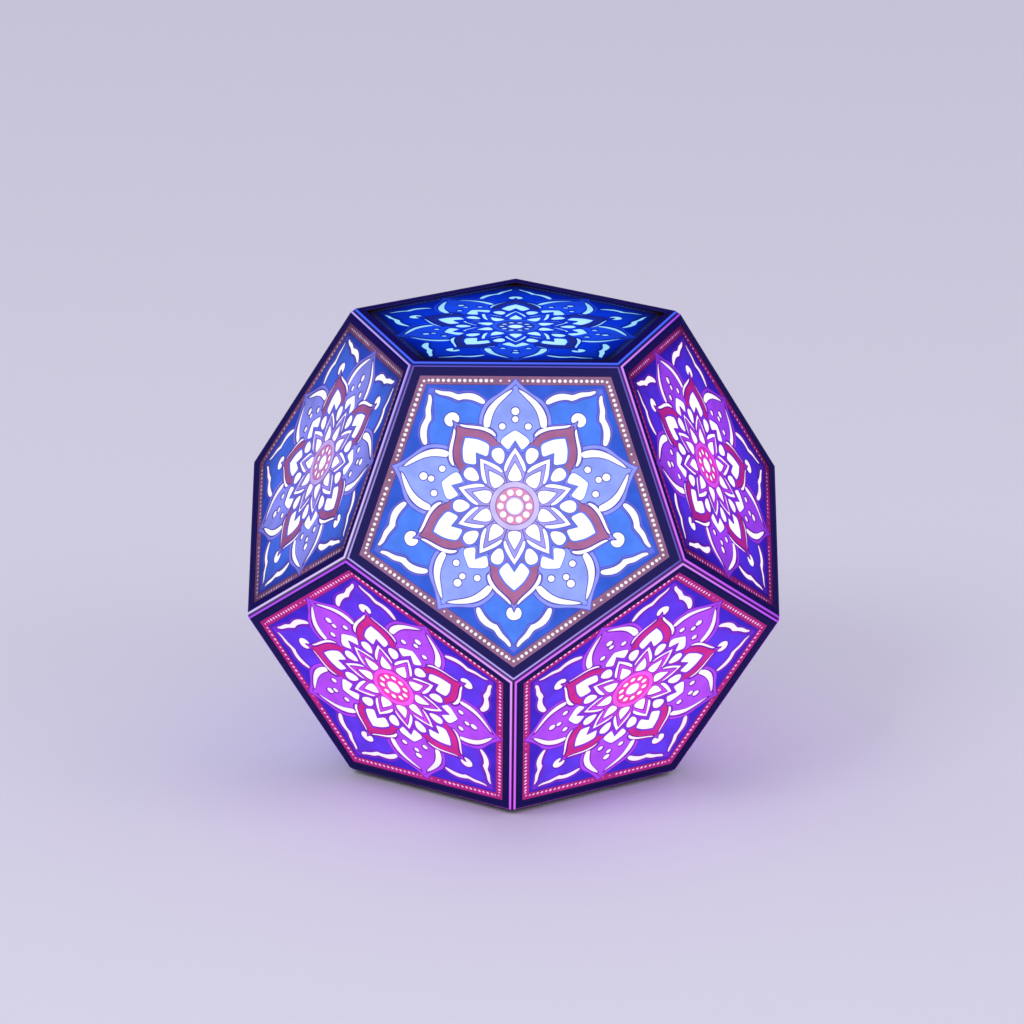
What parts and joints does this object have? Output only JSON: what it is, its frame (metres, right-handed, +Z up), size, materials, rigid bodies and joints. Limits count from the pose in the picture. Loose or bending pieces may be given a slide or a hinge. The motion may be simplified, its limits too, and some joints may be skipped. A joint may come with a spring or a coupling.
{
  "type": "lantern",
  "caption": "Dodecahedron table lantern with pierced rosette panels in narrow black bezels, lit from inside, with a power rocker, mode button and charging socket in the base.",
  "frame": {"origin": "middle of the plane that the feet rest on", "axes": "+Z up; the front face's lowest corner points to -Y; +X to the right seen from the front"},
  "size_m": [0.175, 0.184, 0.1512],
  "materials": {
    "black_gloss": "polished black moulding with a rounded bead",
    "printed_card": "laser-cut card printed in blue, lilac and red-brown, matt",
    "opal_sheet": "opal white diffuser, matt",
    "frame_black": "moulded black, satin",
    "tray_black": "moulded black, fine grain inside a polished rim",
    "board_green": "green solder mask",
    "battery_wrap": "blue shrink wrap",
    "post_white": "white reflective moulding",
    "led_board": "white board with yellow-white LEDs",
    "lead_jacket": "light grey insulated lead",
    "button_grey": "light grey moulded button, satin",
    "switch_black": "moulded black, fine grain",
    "spring_steel": "bright spring wire",
    "rocker_black": "moulded black, satin",
    "socket_steel": "drawn steel shell",
    "screw_steel": "black zinc",
    "foot_rubber": "matt black rubber"
  },
  "bodies": {
    "lantern_body": {"bezel_top": "black_gloss", "card_panel_top": "printed_card", "diffuser_top": "opal_sheet", "bezel_upper_1": "black_gloss", "card_panel_upper_1": "printed_card", "diffuser_upper_1": "opal_sheet", "bezel_upper_2": "black_gloss", "card_panel_upper_2": "printed_card", "diffuser_upper_2": "opal_sheet", "bezel_upper_3": "black_gloss", "card_panel_upper_3": "printed_card", "diffuser_upper_3": "opal_sheet", "bezel_upper_4": "black_gloss", "card_panel_upper_4": "printed_card", "diffuser_upper_4": "opal_sheet", "bezel_upper_5": "black_gloss", "card_panel_upper_5": "printed_card", "diffuser_upper_5": "opal_sheet", "bezel_lower_1": "black_gloss", "card_panel_lower_1": "printed_card", "diffuser_lower_1": "opal_sheet", "bezel_lower_2": "black_gloss", "card_panel_lower_2": "printed_card", "diffuser_lower_2": "opal_sheet", "bezel_lower_3": "black_gloss", "card_panel_lower_3": "printed_card", "diffuser_lower_3": "opal_sheet", "bezel_lower_4": "black_gloss", "card_panel_lower_4": "printed_card", "diffuser_lower_4": "opal_sheet", "bezel_lower_5": "black_gloss", "card_panel_lower_5": "printed_card", "diffuser_lower_5": "opal_sheet", "inner_frame_upper": "frame_black", "inner_frame_lower": "frame_black", "base_tray": "tray_black", "driver_board": "board_green", "battery_pack": "battery_wrap", "light_post": "post_white", "lower_led_belt": "led_board", "upper_led_belt": "led_board", "top_led_board": "led_board", "led_lead": "lead_jacket", "push_switch_body": "switch_black", "button_spring": "spring_steel", "rocker_switch_body": "switch_black", "usb_c_socket": "socket_steel", "base_screw_1": "screw_steel", "foot_1": "foot_rubber", "base_screw_2": "screw_steel", "foot_2": "foot_rubber", "base_screw_3": "screw_steel", "foot_3": "foot_rubber", "base_screw_4": "screw_steel", "foot_4": "foot_rubber", "base_screw_5": "screw_steel", "foot_5": "foot_rubber"},
    "mode_button": {"mode_button": "button_grey"},
    "power_rocker": {"power_rocker": "rocker_black"}
  },
  "joints": [
    {"name": "mode_press", "type": "slide", "parent": "lantern_body", "child": "mode_button", "axis": [0, 0, 1], "range_m": [0, 0.0012], "stiffness_N_per_m": 500, "springref_m": -0.001, "deforming": ["button_spring"]},
    {"name": "power_tip", "type": "hinge", "parent": "lantern_body", "child": "power_rocker", "pos_m": [0, 0, 0.0106], "axis": [0, -1, 0], "range_deg": [0, 20]}
  ]
}
